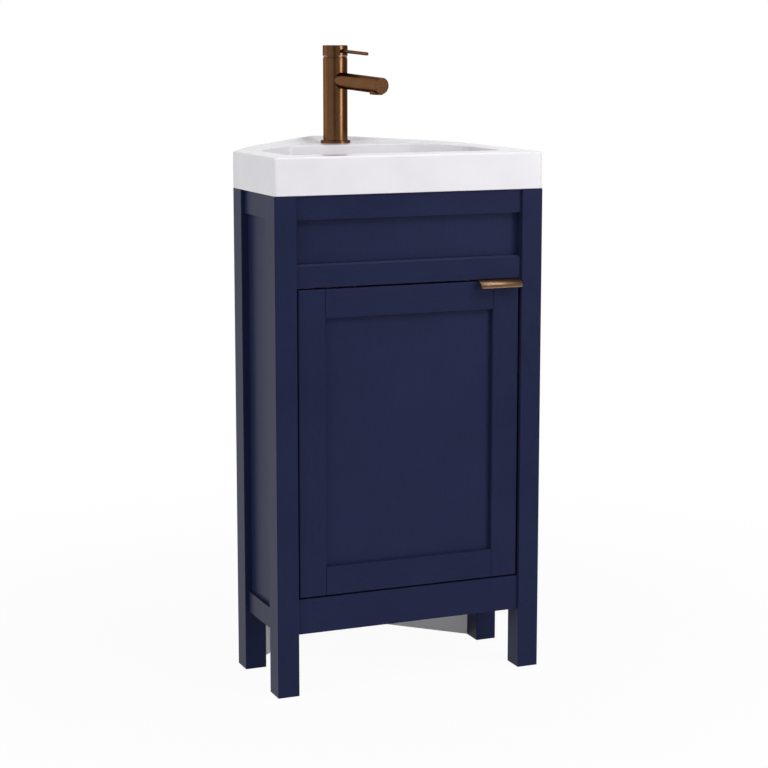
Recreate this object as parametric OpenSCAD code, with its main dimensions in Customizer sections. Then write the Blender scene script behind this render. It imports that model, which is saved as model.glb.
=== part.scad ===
// Corner vanity unit: a painted shaker cabinet on four legs, a corner basin and a pin-lever mixer tap.
// +X runs to the right along the front, +Y to the room corner, +Z up. The floor is Z = 0.

/* [Cabinet] */
// Width of the cabinet and basin across the front
cab_w = 460; // [420:1:520]
// Height from the floor to the underside of the basin
cab_h = 800; // [760:1:840]
// Depth of the square-on side returns, front to back
side_d = 202; // [190:1:230]
// Width of a leg, seen from the front
leg_w = 36; // [34:1:40]
// Depth of a leg, seen from the side
leg_d = 40; // [38:1:44]
// Free height under the rails
leg_clear = 100; // [80:1:130]
// Radius of the eased long edges of the legs
arris_r = 1.5; // [1:0.5:3]

/* [Front frame] */
// How far the rails and the door stand behind the faces of the legs
front_set = 5; // [3:1:7]
// Thickness of the front rails
rail_t = 20; // [19:1:24]
// Height of the top rail
top_rail_h = 38; // [30:1:45]
// Height of the open field of the false drawer
false_open_h = 69; // [60:1:80]
// Height of the rail between the false drawer and the door
mid_rail_h = 37; // [30:1:45]
// Height of the bottom rail
bottom_rail_h = 57; // [50:1:65]
// Distance from the rail face back to the false drawer panel
false_set = 11; // [9:1:12]
// Chamfer along the top front edge of the rail under the false drawer
ledge_chamfer = 3; // [1:0.5:4]

/* [Sides and back] */
// How far the side rails stand behind the faces of the legs
side_set = 6; // [4:1:8]
// Thickness of the side rails
side_rail_t = 18; // [16:1:20]
// Height of the lower side rail
side_bottom_h = 34; // [30:1:40]
// Thickness of the grooved-in panels
panel_t = 6; // [4:1:7]
// Depth of the grooves for those panels in the frame
groove_d = 6; // [5:1:8]
// Thickness of the two boards that stand towards the room's walls
wall_t = 12; // [9:1:14]

/* [Door] */
// Gap all round the door
door_gap = 3; // [2.5:0.5:3.5]
// Thickness of the door
door_t = 18; // [18:1:18]
// Width of the stiles and rails of the door
door_frame_w = 46; // [45:1:60]
// Distance from the face of the door back to its panel
door_set = 9; // [7:1:10]
// Chamfer along the top front edge of the door
door_chamfer = 1.5; // [0.5:0.5:2]
// Width of the edge pull
pull_w = 74; // [60:1:100]
// How far the edge pull stands out in front of the door
pull_out = 17.5; // [14:0.5:20]

/* [Basin] */
// Height of the basin's apron
apron_h = 60; // [55:1:75]
// Height of the upstand along the room's walls, at the back corner
upstand_h = 11; // [8:1:13]
// Width of the top of that upstand
upstand_w = 9; // [6:1:12]
// Width of the flat that blunts the back corner
blunt_w = 40; // [30:1:60]
// Depth of the bowl under the rim, at the waste
bowl_depth = 106; // [95:1:112]
// Wall of the ceramic bowl
bowl_t = 9; // [8:1:11]

/* [Tap] */
// Diameter of the tap's body
tap_d = 42; // [38:1:45]
// Height of the tap from the deck to the top of its cap
tap_h = 166.5; // [150:0.5:180]
// Reach of the spout from the axis of the body to its end
spout_reach = 136; // [120:1:150]
// Diameter of the spout
spout_d = 27.5; // [24:0.5:30]
// Turn of the tap to the right of straight ahead, in degrees
tap_turn = 14; // [-20:1:20]
// Slope of the spout and lever below level, in degrees
tap_slope = 3.5; // [0:0.5:6]
// Reach of the lever pin from the axis of the body
lever_reach = 94; // [80:1:100]

/* [Hidden] */
$fn = 48;
root2 = sqrt(2);
eps = 0.01;
cut = 1; // how far a cutting tool runs past the face that it cuts

navy = [0.13, 0.15, 0.24];
navy_light = [0.17, 0.19, 0.29];
board_grey = [0.80, 0.81, 0.83];
timber = [0.78, 0.63, 0.44];
steel = [0.72, 0.73, 0.75];
bronze = [0.47, 0.31, 0.19];
white = [0.93, 0.93, 0.95];
rubber = [0.12, 0.12, 0.12];
plastic = [0.85, 0.85, 0.82];

// The box of the whole unit is centred on the origin: it runs from the lip of the pull to the blunt corner.
half_w = cab_w / 2;
blunt_y = side_d + half_w - blunt_w / 2;
lip_y = front_set - pull_out;
front_y = -(lip_y + blunt_y) / 2;

// Heights of the front frame
top_rail_z = cab_h - top_rail_h;
mid_rail_z = top_rail_z - false_open_h - mid_rail_h;
bottom_rail_z = leg_clear;
floor_top = bottom_rail_z + bottom_rail_h;
side_top_z = top_rail_z;

// Plan lines, measured from the front faces of the legs and the centre line
inner_x = half_w - leg_w;
leg_back_y = side_d - leg_d;
false_y = front_set + false_set;
rail_back_y = front_set + rail_t;
side_face_x = half_w - side_set;
side_in_x = side_face_x - side_rail_t;
side_panel_x = side_in_x + panel_t;
wall_out = wall_t * root2;
wall_trim_y = side_d + inner_x + 8;
wall_gap = (leg_w - wall_out) / root2;

// Boards inside and behind
floor_t = 15;
cleat_w = 18;
batten_w = 35;
batten_end = 20;
fix_x = 70;
fix_z = 725;
fix_r = 3;
spacer_w = 70;
cutout_x = 150;
cutout_z = 500;
cutout_w = 110;
cutout_h = 130;
cutout_r = 12;

// Dowels: two in each rail end
dowel_r = 4;
dowel_l = 30;
dowel_in = dowel_l / 2;
dowel_low = 0.28;
dowel_high = 0.68;

// Door
door_z = floor_top + door_gap;
door_top = mid_rail_z - door_gap;
door_h = door_top - door_z;
door_x = inner_x - door_gap;
door_back_y = front_set + door_t;
door_panel_y = front_set + door_set;
door_groove = 5;
door_round = 2;

// Hinges: the pin stands inside the cup, and the arm reaches round the edge of the door to it
hinge_z = [door_z + 85, door_top - 85];
pin_x = -door_x + 14;
pin_y = front_set + 9;
pin_r = 1.3;
pin_l = 24;
cup_r = 17.5;
cup_x = -door_x + 22.5;
cup_depth = 13;
cup_wall = 1;
arm_w = 12;
arm_t = 3;
arm_sweep_r = 20;
arm_start_y = 31.2;
arm_end_y = 90;
plate_t = 4;
plate_y = 46;
plate_l = 40;
plate_h = 52;
plate_screw_dz = 16;
cup_flange_t = 1.2;
cup_screw_dx = 9.5;
cup_screw_dz = 22.5;
strip_d = 60;

// Door stop and its two bumpers
stop_x = 80;
stop_drop = 14;
bumper_r = 4;
bumper_t = 1.9;

// Shelf
shelf_z = 400;
shelf_t = 15;
shelf_back_y = 330;
shelf_front_gap = 7.5; // room for the back corner of the door as it swings
shelf_pin_y = [leg_d - 4.5, leg_back_y + 22];
shelf_pin_r = 2.5;
shelf_pin_pitch = 32;

// Pull
pull_t = 1.8;
pull_leaf_h = 20;
pull_x = door_x - pull_w;
pull_drop = 10;
pull_corner_r = 3.5;
nose_r = (pull_out * pull_out + pull_drop * pull_drop) / (2 * pull_drop);

// Basin and bowl
basin_top = cab_h + apron_h;
basin_edge_r = 4;
edge_angles = [0 : 22.5 : 90];
basin_corner_r = 7;
apron_t = 14;
rear_apron_t = 18;
deck_z = basin_top - 12;
landing_rise = 1.8; // the level landing that the tap stands on lies this far above the front rim
cove_r = 8;
knee_rise = 5; // the upstand climbs fast to its knee, and then slowly to the back corner
knee_y = side_d + 43;
upstand_stops = [
    [side_d - 4, side_d - 3.5, 0],
    [knee_y, knee_y + 1, knee_rise],
    [blunt_y - 10, blunt_y, upstand_h]
];
bowl_front_y = 54;
bowl_side_x = half_w - 44;
bowl_side_y = 196;
bowl_back_y = 270;
bowl_back_x = bowl_side_x - (bowl_back_y - bowl_side_y);
bowl_round = 26;
bowl_floor_r = 34;
bowl_draft = 9;
bowl_fall = 7;
waste_y = 150;
waste_z = basin_top - bowl_depth;
waste_hole_r = 23;

// Waste
tail_r = 20.95;
tail_in_r = 17;
tail_l = 72;
neck_r = 21.4;
neck_l = 27;
waste_flange_r = 32;
waste_flange_t = 2;
seal_t = 4;
waste_nut_t = 10;
plug_r = 29;
plug_stem_r = 4;
plug_clear = 1;

// Tap, measured up from its level seat on the deck
tap_y = 335;
tap_hole_r = 17.5;
seat_z = basin_top + landing_rise;
tap_r = tap_d / 2;
ring_r = 25.5;
ring_h = 5;
groove_h = 3.2;
cap_h = 18;
cap_r = tap_r + 0.5;
cap_z = tap_h - cap_h;
body_top = cap_z - groove_h;
spout_z = 108;
aerator_r = 11;
aerator_out = 1.5;
cavity_r = 17.5;
cavity_z = body_top - 27;
cap_wall = 3.5;
cap_roof = 13;
collar_r = tap_r - 0.6;
grub_r = 2;
grub_l = 6;
lift_x = -(tap_r - 7.5);
lift_z = cap_z - 1;
lug_r = 2.5;
lug_y = [4, 6.6];
lift_pin_r = 1.25;
run_gap = 0.05;
lever_r = 2.9;
lever_z = tap_h - 8.5;
lever_in = 9; // where the pin starts inside the cap
shank_r = 16.5;
shank_l = 48;
inlet_r = 4.5;
inlet_x = 6.5;
inlet_l = 14;
tap_under = seat_z - deck_z;
carrier_z = cavity_z + 20;
bore_r = 7;
tongue_w = 6;
tongue_low = cavity_z + 10;

// ---- helpers ----

module from_front() {
    translate([0, front_y, 0]) children();
}

// A piece drawn for the right-hand side, on side s: 1 is right, -1 is left
module on_side(s) {
    from_front()
        if (s < 0) mirror([1, 0, 0]) children();
        else children();
}

module box(x0, x1, y0, y1, z0, z1) {
    translate([x0, y0, z0]) cube([x1 - x0, y1 - y0, z1 - z0]);
}

// A rectangle in plan with eased corners
module eased(w, d, r) {
    translate([r, r]) offset(r = r, $fn = 16) square([w - 2 * r, d - 2 * r]);
}

// Stands children on the tap's seat, with +X along the spout
module at_tap() {
    from_front() translate([0, tap_y, seat_z]) rotate([0, 0, tap_turn - 90]) children();
}

// ---- dowels: the same places cut the holes and make the dowels ----

function end_heights(z0, h) = [z0 + h * dowel_low, z0 + h * dowel_high];
front_ends = concat(end_heights(top_rail_z, top_rail_h), end_heights(mid_rail_z, mid_rail_h),
                    end_heights(bottom_rail_z, bottom_rail_h));
side_ends = concat(end_heights(side_top_z, top_rail_h), end_heights(bottom_rail_z, side_bottom_h));

module front_dowels(r, grow) {
    for (z = front_ends)
        translate([inner_x - dowel_in - grow, rail_back_y - 8, z])
            rotate([0, 90, 0]) cylinder(h = dowel_l + 2 * grow, r = r, $fn = 24);
}

module side_dowels(r, grow) {
    for (z = side_ends, y = [leg_d, leg_back_y])
        translate([side_in_x + side_rail_t / 2, y - dowel_in - grow, z])
            rotate([-90, 0, 0]) cylinder(h = dowel_l + 2 * grow, r = r, $fn = 24);
}

module dowel_holes() {
    front_dowels(dowel_r + run_gap, 0.5);
    side_dowels(dowel_r + run_gap, 0.5);
}

module rail_dowels() {
    color(timber)
        for (s = [-1, 1]) on_side(s) {
            front_dowels(dowel_r, 0);
            side_dowels(dowel_r, 0);
        }
}

// ---- legs ----

module shelf_pin_holes(y) {
    for (i = [-1, 0, 1])
        translate([inner_x - cut, y, shelf_z + i * shelf_pin_pitch - shelf_pin_r])
            rotate([0, 90, 0]) cylinder(h = 10 + cut, r = shelf_pin_r + run_gap, $fn = 24);
}

module leg_front(s) {
    color(navy) on_side(s) difference() {
        translate([inner_x, 0, 0]) linear_extrude(cab_h) eased(leg_w, leg_d, arris_r);
        dowel_holes();
        shelf_pin_holes(shelf_pin_y[0]);
        box(inner_x - cut, inner_x + groove_d, false_y, false_y + panel_t,
            mid_rail_z + mid_rail_h - groove_d, top_rail_z + groove_d);
        box(side_panel_x, side_panel_x + panel_t, leg_d - groove_d, leg_d + cut,
            bottom_rail_z + side_bottom_h - groove_d, side_top_z + groove_d);
    }
}

module leg_back(s) {
    color(navy) on_side(s) difference() {
        translate([inner_x, leg_back_y, 0]) linear_extrude(cab_h) eased(leg_w, leg_d, arris_r);
        dowel_holes();
        shelf_pin_holes(shelf_pin_y[1]);
        box(side_panel_x, side_panel_x + panel_t, leg_back_y - cut, leg_back_y + groove_d,
            bottom_rail_z + side_bottom_h - groove_d, side_top_z + groove_d);
    }
}

module leg_front_left() { leg_front(-1); }
module leg_front_right() { leg_front(1); }
module leg_back_left() { leg_back(-1); }
module leg_back_right() { leg_back(1); }

// ---- front frame ----

// Cuts a chamfer along the top front edge of a rail or stile
module top_chamfer(top, size) {
    translate([0, front_set, top]) rotate([45, 0, 0])
        cube([cab_w, size * root2, size * root2], center = true);
}

module front_rail(z, h) {
    difference() {
        box(-inner_x, inner_x, front_set, rail_back_y, z, z + h);
        for (s = [0, 1]) mirror([s, 0, 0]) front_dowels(dowel_r + run_gap, 0.5);
    }
}

module false_groove(z) {
    box(-half_w, half_w, false_y, false_y + panel_t, z, z + groove_d + cut);
}

module front_top_rail() {
    color(navy) from_front() difference() {
        front_rail(top_rail_z, top_rail_h);
        false_groove(top_rail_z - cut);
    }
}

module front_mid_rail() {
    color(navy) from_front() difference() {
        front_rail(mid_rail_z, mid_rail_h);
        false_groove(mid_rail_z + mid_rail_h - groove_d);
        top_chamfer(mid_rail_z + mid_rail_h, ledge_chamfer);
    }
}

module front_bottom_rail() {
    color(navy) from_front() front_rail(bottom_rail_z, bottom_rail_h);
}

module false_drawer_panel() {
    tongue = groove_d - 0.5;
    color(navy_light) from_front()
        box(-inner_x - tongue, inner_x + tongue, false_y, false_y + panel_t,
            mid_rail_z + mid_rail_h - tongue, top_rail_z + tongue);
}

// ---- sides ----

module side_rail(s, z, h, groove_z) {
    color(navy) on_side(s) difference() {
        box(side_in_x, side_face_x, leg_d, leg_back_y, z, z + h);
        side_dowels(dowel_r + run_gap, 0.5);
        box(side_panel_x, side_panel_x + panel_t, 0, side_d, groove_z, groove_z + groove_d + cut);
    }
}

module side_top_rail(s) { side_rail(s, side_top_z, top_rail_h, side_top_z - cut); }
module side_bottom_rail(s) {
    side_rail(s, bottom_rail_z, side_bottom_h, bottom_rail_z + side_bottom_h - groove_d);
}
module side_top_rail_left() { side_top_rail(-1); }
module side_top_rail_right() { side_top_rail(1); }
module side_bottom_rail_left() { side_bottom_rail(-1); }
module side_bottom_rail_right() { side_bottom_rail(1); }

module side_panel(s) {
    tongue = groove_d - 0.5;
    color(navy_light) on_side(s)
        box(side_panel_x, side_panel_x + panel_t, leg_d - tongue, leg_back_y + tongue,
            bottom_rail_z + side_bottom_h - tongue, side_top_z + tongue);
}

module side_panel_left() { side_panel(-1); }
module side_panel_right() { side_panel(1); }

// ---- back: two boards along the room's walls, and the batten that joins them ----

// Local +X runs along the right-hand wall towards the corner, local -Y points at the wall
module along_wall() {
    translate([inner_x, side_d, 0]) rotate([0, 0, 135]) children();
}

module wall_fixing_hole() {
    along_wall() translate([fix_x, 0, fix_z])
        rotate([90, 0, 0]) translate([0, 0, -cut]) cylinder(h = leg_w + 2 * cut, r = fix_r, $fn = 32);
}

module pipe_cutout() {
    along_wall() translate([cutout_x, cut, cutout_z]) rotate([90, 0, 0])
        linear_extrude(wall_t + 2 * cut)
            translate([-cutout_w / 2, -cutout_h / 2]) eased(cutout_w, cutout_h, cutout_r);
}

module wall_panel(s) {
    trim_x = inner_x + wall_out + side_d - wall_trim_y;
    color(board_grey) on_side(s) difference() {
        linear_extrude(cab_h) polygon([
            [inner_x, side_d], [inner_x + wall_out, side_d], [trim_x, wall_trim_y],
            [0, wall_trim_y], [0, side_d + inner_x]]);
        wall_fixing_hole();
        pipe_cutout();
    }
}

module wall_panel_left() { wall_panel(-1); }
module wall_panel_right() { wall_panel(1); }

module corner_batten() {
    color(timber) from_front() translate([0, side_d + inner_x, batten_end])
        rotate([0, 0, 225]) cube([batten_w, batten_w, cab_h - 2 * batten_end]);
}

module wall_spacers() {
    color(board_grey) for (s = [-1, 1]) on_side(s) difference() {
        along_wall() translate([fix_x - spacer_w / 2, -wall_t - wall_gap, fix_z - spacer_w / 2])
            cube([spacer_w, wall_gap, spacer_w]);
        wall_fixing_hole();
    }
}

// ---- floor and shelf ----

module cabinet_floor() {
    cut_y = side_d + inner_x - batten_w * root2;
    cut_x = batten_w * root2;
    half = [[inner_x, rail_back_y], [inner_x, leg_d], [side_panel_x, leg_d],
            [side_panel_x, leg_back_y], [inner_x, leg_back_y], [inner_x, side_d], [cut_x, cut_y]];
    color(board_grey) from_front() translate([0, 0, floor_top - floor_t]) linear_extrude(floor_t)
        polygon(concat(half, [for (i = [len(half) - 1 : -1 : 0]) [-half[i][0], half[i][1]]]));
}

module floor_cleats() {
    z1 = floor_top - floor_t;
    z0 = z1 - cleat_w;
    color(timber) {
        from_front() box(-door_x + cleat_w, door_x - cleat_w, rail_back_y, rail_back_y + cleat_w, z0, z1);
        for (s = [-1, 1]) on_side(s) box(side_in_x - cleat_w, side_in_x, leg_d, leg_back_y, z0, z1);
    }
}

module shelf() {
    gap = 2;
    x1 = inner_x - gap;
    y0 = rail_back_y + shelf_front_gap;
    y1 = side_d - gap;
    back_x = x1 - (shelf_back_y - y1);
    color(board_grey) from_front() translate([0, 0, shelf_z]) linear_extrude(shelf_t)
        polygon([[-x1, y0], [x1, y0], [x1, y1], [back_x, shelf_back_y], [-back_x, shelf_back_y], [-x1, y1]]);
}

module shelf_pins() {
    color(steel) for (s = [-1, 1]) on_side(s) for (y = shelf_pin_y)
        translate([inner_x - 10, y, shelf_z - shelf_pin_r]) rotate([0, 90, 0]) {
            cylinder(h = 19.5, r = shelf_pin_r, $fn = 24);
            translate([0, 0, 9]) cylinder(h = 1, r = 2 * shelf_pin_r - 0.5, $fn = 24);
        }
}

// ---- hinges and door stop ----

module hinge_strip() {
    color(navy_light) on_side(-1)
        box(inner_x, side_panel_x, leg_d, leg_d + strip_d, floor_top, side_top_z);
}

module hinge_plates() {
    color(steel) from_front() for (z = hinge_z) difference() {
        union() {
            box(-inner_x, -inner_x + plate_t, plate_y, plate_y + plate_l, z - 8, z + 8);
            box(-inner_x, -inner_x + 2.5, plate_y + 12, plate_y + 26, z - plate_h / 2, z + plate_h / 2);
        }
        for (d = [-plate_screw_dz, plate_screw_dz])
            translate([-inner_x - cut, plate_y + 19, z + d]) rotate([0, 90, 0])
                cylinder(h = 10, r = 2.2, $fn = 24);
    }
}

module hinge_plate_screws() {
    color(steel) from_front() for (z = hinge_z, d = [-plate_screw_dz, plate_screw_dz])
        translate([-inner_x, plate_y + 19, z + d]) rotate([0, 90, 0]) {
            cylinder(h = 2.5, r = 2.1, $fn = 24);
            translate([0, 0, 2.5]) cylinder(h = 1.5, r = 3.8, $fn = 24);
        }
}

// Plan outline of the arm, from the knuckle on the pin round the edge of the door to the plate
module arm_outline() {
    difference() {
        union() {
            intersection() {
                difference() {
                    circle(r = arm_sweep_r + arm_t / 2, $fn = 96);
                    circle(r = arm_sweep_r - arm_t / 2, $fn = 96);
                }
                polygon([[0, 0], [40, 0], [40, 40], [-12, 40]]);
            }
            translate([0, -arm_t / 2]) square([arm_sweep_r + arm_t / 2 - 0.1, arm_t]);
            circle(r = 2.6, $fn = 32);
        }
        circle(r = pin_r + run_gap, $fn = 32);
    }
}

module hinge_arms() {
    color(steel) from_front() for (z = hinge_z) {
        translate([pin_x, pin_y, z - arm_w / 2]) linear_extrude(arm_w) arm_outline();
        difference() {
            box(-inner_x + plate_t, -inner_x + plate_t + 8, arm_start_y, arm_end_y,
                z - arm_w / 2, z + arm_w / 2);
            box(-inner_x + plate_t + 1.5, -inner_x + plate_t + 9, arm_start_y + 14, arm_end_y + cut,
                z - arm_w / 2 + 1.5, z + arm_w / 2 - 1.5);
        }
    }
}

module door_stop() {
    color(navy_light) from_front()
        box(-stop_x, stop_x, rail_back_y, rail_back_y + 15, mid_rail_z - stop_drop, mid_rail_z + 30);
}

module door_bumpers() {
    color(plastic) from_front() for (x = [-stop_x + 20, stop_x - 20])
        translate([x, rail_back_y, (mid_rail_z - stop_drop + door_top) / 2]) rotate([90, 0, 0])
            cylinder(h = bumper_t, r = bumper_r, $fn = 24);
}

// ---- door ----

module cup_bores() {
    for (z = hinge_z) {
        translate([cup_x, door_back_y + cut, z]) rotate([90, 0, 0])
            cylinder(h = cup_depth + cut, r = cup_r, $fn = 64);
        for (d = [-cup_screw_dz, cup_screw_dz])
            translate([cup_x + cup_screw_dx, door_back_y + cut, z + d]) rotate([90, 0, 0])
                cylinder(h = 10 + cut, r = 1.5, $fn = 24);
    }
}

module door_stile(x, groove_x) {
    difference() {
        translate([x, front_set, door_z]) linear_extrude(door_h) eased(door_frame_w, door_t, door_round);
        box(groove_x, groove_x + door_groove + cut, door_panel_y, door_panel_y + panel_t,
            door_z - cut, door_top + cut);
        top_chamfer(door_top, door_chamfer);
    }
}

module door_stile_left() {
    color(navy) from_front() difference() {
        door_stile(-door_x, -door_x + door_frame_w - door_groove);
        cup_bores();
    }
}

module door_stile_right() {
    color(navy) from_front() door_stile(door_x - door_frame_w, door_x - door_frame_w - cut);
}

// A rail between the stiles, with a tongue at each end in the groove of the stile
module door_rail(z, groove_z) {
    tongue_x = door_x - door_frame_w + door_groove - 0.3;
    difference() {
        union() {
            box(-door_x + door_frame_w, door_x - door_frame_w, front_set, door_back_y, z, z + door_frame_w);
            box(-tongue_x, tongue_x, door_panel_y, door_panel_y + panel_t, z, z + door_frame_w);
        }
        box(-half_w, half_w, door_panel_y, door_panel_y + panel_t, groove_z, groove_z + door_groove + cut);
    }
}

module door_rail_top() {
    color(navy) from_front() difference() {
        door_rail(door_top - door_frame_w, door_top - door_frame_w - cut);
        top_chamfer(door_top, door_chamfer);
    }
}

module door_rail_bottom() {
    color(navy) from_front() door_rail(door_z, door_z + door_frame_w - door_groove);
}

module door_panel() {
    tongue = door_groove - 0.3;
    color(navy_light) from_front()
        box(-door_x + door_frame_w - tongue, door_x - door_frame_w + tongue,
            door_panel_y, door_panel_y + panel_t,
            door_z + door_frame_w - tongue, door_top - door_frame_w + tongue);
}

// Section of the pull from the side: a leaf behind the door, a web over its top and a curved nose
module pull_section() {
    square_top = door_top + pull_t;
    translate([door_back_y, door_top - pull_leaf_h]) square([pull_t, pull_leaf_h + pull_t]);
    translate([front_set, door_top]) square([door_t + pull_t, pull_t]);
    intersection() {
        translate([front_set, square_top - nose_r]) difference() {
            circle(r = nose_r, $fn = 180);
            circle(r = nose_r - pull_t, $fn = 180);
        }
        translate([front_set - pull_out, square_top - pull_drop - 2]) square([pull_out + eps, pull_drop + 2]);
    }
}

module pull_screw_holes(r, l) {
    for (x = [pull_x + 12, pull_x + pull_w - 12])
        translate([x, door_back_y + pull_t, door_top - pull_leaf_h / 2]) rotate([90, 0, 0])
            cylinder(h = l, r = r, $fn = 24);
}

module door_pull() {
    color(bronze) from_front() difference() {
        intersection() {
            translate([pull_x, 0, 0]) rotate([90, 0, 90]) linear_extrude(pull_w) pull_section();
            // rounds the corners of the nose
            translate([pull_x, lip_y, door_top - pull_leaf_h - cut])
                linear_extrude(pull_leaf_h + 2 * pull_t + cut)
                    eased(pull_w, door_back_y + pull_t - lip_y, pull_corner_r);
        }
        translate([0, cut, 0]) pull_screw_holes(1.7, pull_t + 2 * cut);
    }
}

module door_pull_screws() {
    color(steel) from_front() {
        pull_screw_holes(1.6, pull_t);
        translate([0, 1.2, 0]) pull_screw_holes(3, 1.2);
    }
}

module hinge_cups() {
    color(steel) from_front() for (z = hinge_z) difference() {
        union() {
            translate([cup_x, door_back_y + cup_flange_t, z]) rotate([90, 0, 0])
                cylinder(h = cup_depth + cup_flange_t, r = cup_r, $fn = 64);
            box(cup_x - 10, cup_x + 14.5, door_back_y, door_back_y + cup_flange_t, z - 29, z + 29);
        }
        translate([cup_x, door_back_y + cup_flange_t + cut, z]) rotate([90, 0, 0])
            cylinder(h = cup_depth + cup_flange_t + cut - cup_wall, r = cup_r - cup_wall, $fn = 64);
        for (d = [-cup_screw_dz, cup_screw_dz])
            translate([cup_x + cup_screw_dx, door_back_y + cut + 2, z + d]) rotate([90, 0, 0])
                cylinder(h = 6, r = 1.7, $fn = 24);
    }
}

module hinge_pins() {
    color(steel) from_front() for (z = hinge_z)
        translate([pin_x, pin_y, z - pin_l / 2]) cylinder(h = pin_l, r = pin_r, $fn = 32);
}

module hinge_cup_screws() {
    color(steel) from_front() for (z = hinge_z, d = [-cup_screw_dz, cup_screw_dz])
        translate([cup_x + cup_screw_dx, door_back_y + cup_flange_t, z + d]) rotate([90, 0, 0]) {
            cylinder(h = 9, r = 1.45, $fn = 24);
            translate([0, 0, -1]) cylinder(h = 1, r = 3, $fn = 24);
        }
}

// ---- basin ----

// Plan of the whole basin: square returns, then two faces along the room's walls
module basin_plan(inset = 0) {
    corner_r = basin_corner_r;
    offset(r = corner_r - inset, $fn = 24) offset(delta = -corner_r)
        polygon([[-half_w, 0], [half_w, 0], [half_w, side_d], [blunt_w / 2, blunt_y],
                 [-blunt_w / 2, blunt_y], [-half_w, side_d]]);
}

// The part of that plan between two lines across the depth
module plan_strip(inset, y0, y1) {
    intersection() {
        basin_plan(inset);
        translate([-half_w, y0]) square([cab_w, y1 - y0]);
    }
}

// The top edges of both blocks are quarter circles, made as the hull of thin slices
function edge_z(a) = basin_top - basin_edge_r * (1 - sin(a)) - eps;
function edge_inset(a) = basin_edge_r * (1 - cos(a));

module basin_block() {
    hull() {
        translate([0, 0, cab_h]) linear_extrude(eps) basin_plan(1);
        translate([0, 0, cab_h + 1]) linear_extrude(eps) basin_plan();
        for (a = edge_angles)
            translate([0, 0, edge_z(a)]) linear_extrude(eps) basin_plan(edge_inset(a));
    }
}

// Solid part behind the bowl, up to the top of the upstand
module deck_block() {
    hull() {
        translate([0, 0, basin_top - 8]) linear_extrude(eps) plan_strip(0, upstand_stops[0][0], blunt_y);
        for (a = [0, 45, 90], stop = upstand_stops)
            translate([0, 0, edge_z(a) + stop[2]]) linear_extrude(eps)
                plan_strip(edge_inset(a), stop[0], stop[1]);
    }
}

// Cuts the tap's level landing into that block, with a cove up to the upstand
module landing_cut() {
    hull() {
        for (a = [0 : 30 : 90])
            translate([0, 0, seat_z + cove_r * (1 - cos(a))]) linear_extrude(eps)
                plan_strip(upstand_w + cove_r * (1 - sin(a)), side_d - 40, blunt_y);
        translate([0, 0, basin_top + upstand_h + cut]) linear_extrude(eps)
            plan_strip(upstand_w, side_d - 40, blunt_y);
    }
}

// Plan of the bowl, drawn in from its rim by an inset and grown by the wall
module bowl_plan(inset, grow) {
    offset(r = bowl_round + grow, $fn = 24) offset(delta = -bowl_round - inset)
        polygon([[-bowl_side_x, bowl_front_y], [bowl_side_x, bowl_front_y], [bowl_side_x, bowl_side_y],
                 [bowl_back_x, bowl_back_y], [-bowl_back_x, bowl_back_y], [-bowl_side_x, bowl_side_y]]);
}

// The bowl's space, or its shell when grown by the wall.
// The sides slope, round into the floor, and the floor falls to the waste.
module bowl_form(grow, top) {
    round_z = waste_z + bowl_fall + bowl_floor_r;
    top_inset = bowl_draft * (basin_top - top) / (basin_top - round_z);
    hull() {
        translate([0, 0, top - eps]) linear_extrude(eps) bowl_plan(top_inset, grow);
        for (a = [0 : 18 : 90])
            translate([0, 0, round_z - (bowl_floor_r + grow) * sin(a)]) linear_extrude(eps)
                bowl_plan(bowl_draft + bowl_floor_r * (1 - cos(a)), grow * cos(a));
        translate([0, waste_y, waste_z - grow]) cylinder(h = 1, r = 38, $fn = 32);
    }
}

module basin_hollow() {
    // space under the deck, between the apron walls
    translate([0, 0, cab_h - cut]) linear_extrude(deck_z - cab_h + cut)
        polygon([[-half_w + apron_t, apron_t], [half_w - apron_t, apron_t],
                 [half_w - apron_t, side_d - rear_apron_t * 0.42],
                 [apron_t * 1.2, blunt_y - rear_apron_t], [-apron_t * 1.2, blunt_y - rear_apron_t],
                 [-half_w + apron_t, side_d - rear_apron_t * 0.42]]);
}

module basin() {
    color(white) from_front() difference() {
        union() {
            difference() {
                union() {
                    basin_block();
                    difference() {
                        deck_block();
                        landing_cut();
                    }
                }
                basin_hollow();
            }
            bowl_form(bowl_t, basin_top - 2);
        }
        bowl_form(0, basin_top + upstand_h + cut);
        translate([0, waste_y, waste_z - bowl_t - cut])
            cylinder(h = bowl_t + 2 * cut, r = waste_hole_r, $fn = 64);
        translate([0, tap_y, deck_z - cut]) cylinder(h = 40, r = tap_hole_r, $fn = 64);
    }
}

// ---- waste ----

module at_waste() {
    from_front() translate([0, waste_y, waste_z]) children();
}

module waste_body() {
    color(bronze) at_waste() difference() {
        union() {
            cylinder(h = waste_flange_t, r = waste_flange_r, $fn = 64);
            translate([0, 0, -tail_l]) cylinder(h = tail_l, r = tail_r, $fn = 64);
            translate([0, 0, -neck_l]) cylinder(h = neck_l, r = neck_r, $fn = 64);
        }
        difference() {
            translate([0, 0, -tail_l - cut]) cylinder(h = tail_l + 3 * cut, r = tail_in_r, $fn = 64);
            for (a = [0, 60, 120])
                rotate([0, 0, a]) translate([-tail_r, -1.5, -40]) cube([2 * tail_r, 3, 12]);
            translate([0, 0, -44]) cylinder(h = 24, r = 7, $fn = 32);
        }
        translate([0, 0, -38]) cylinder(h = 30, r = plug_stem_r + run_gap, $fn = 32);
    }
}

module waste_seal() {
    color(rubber) at_waste() translate([0, 0, -bowl_t - seal_t]) difference() {
        cylinder(h = seal_t, r = 30, $fn = 64);
        translate([0, 0, -cut]) cylinder(h = seal_t + 2 * cut, r = neck_r, $fn = 64);
    }
}

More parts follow.
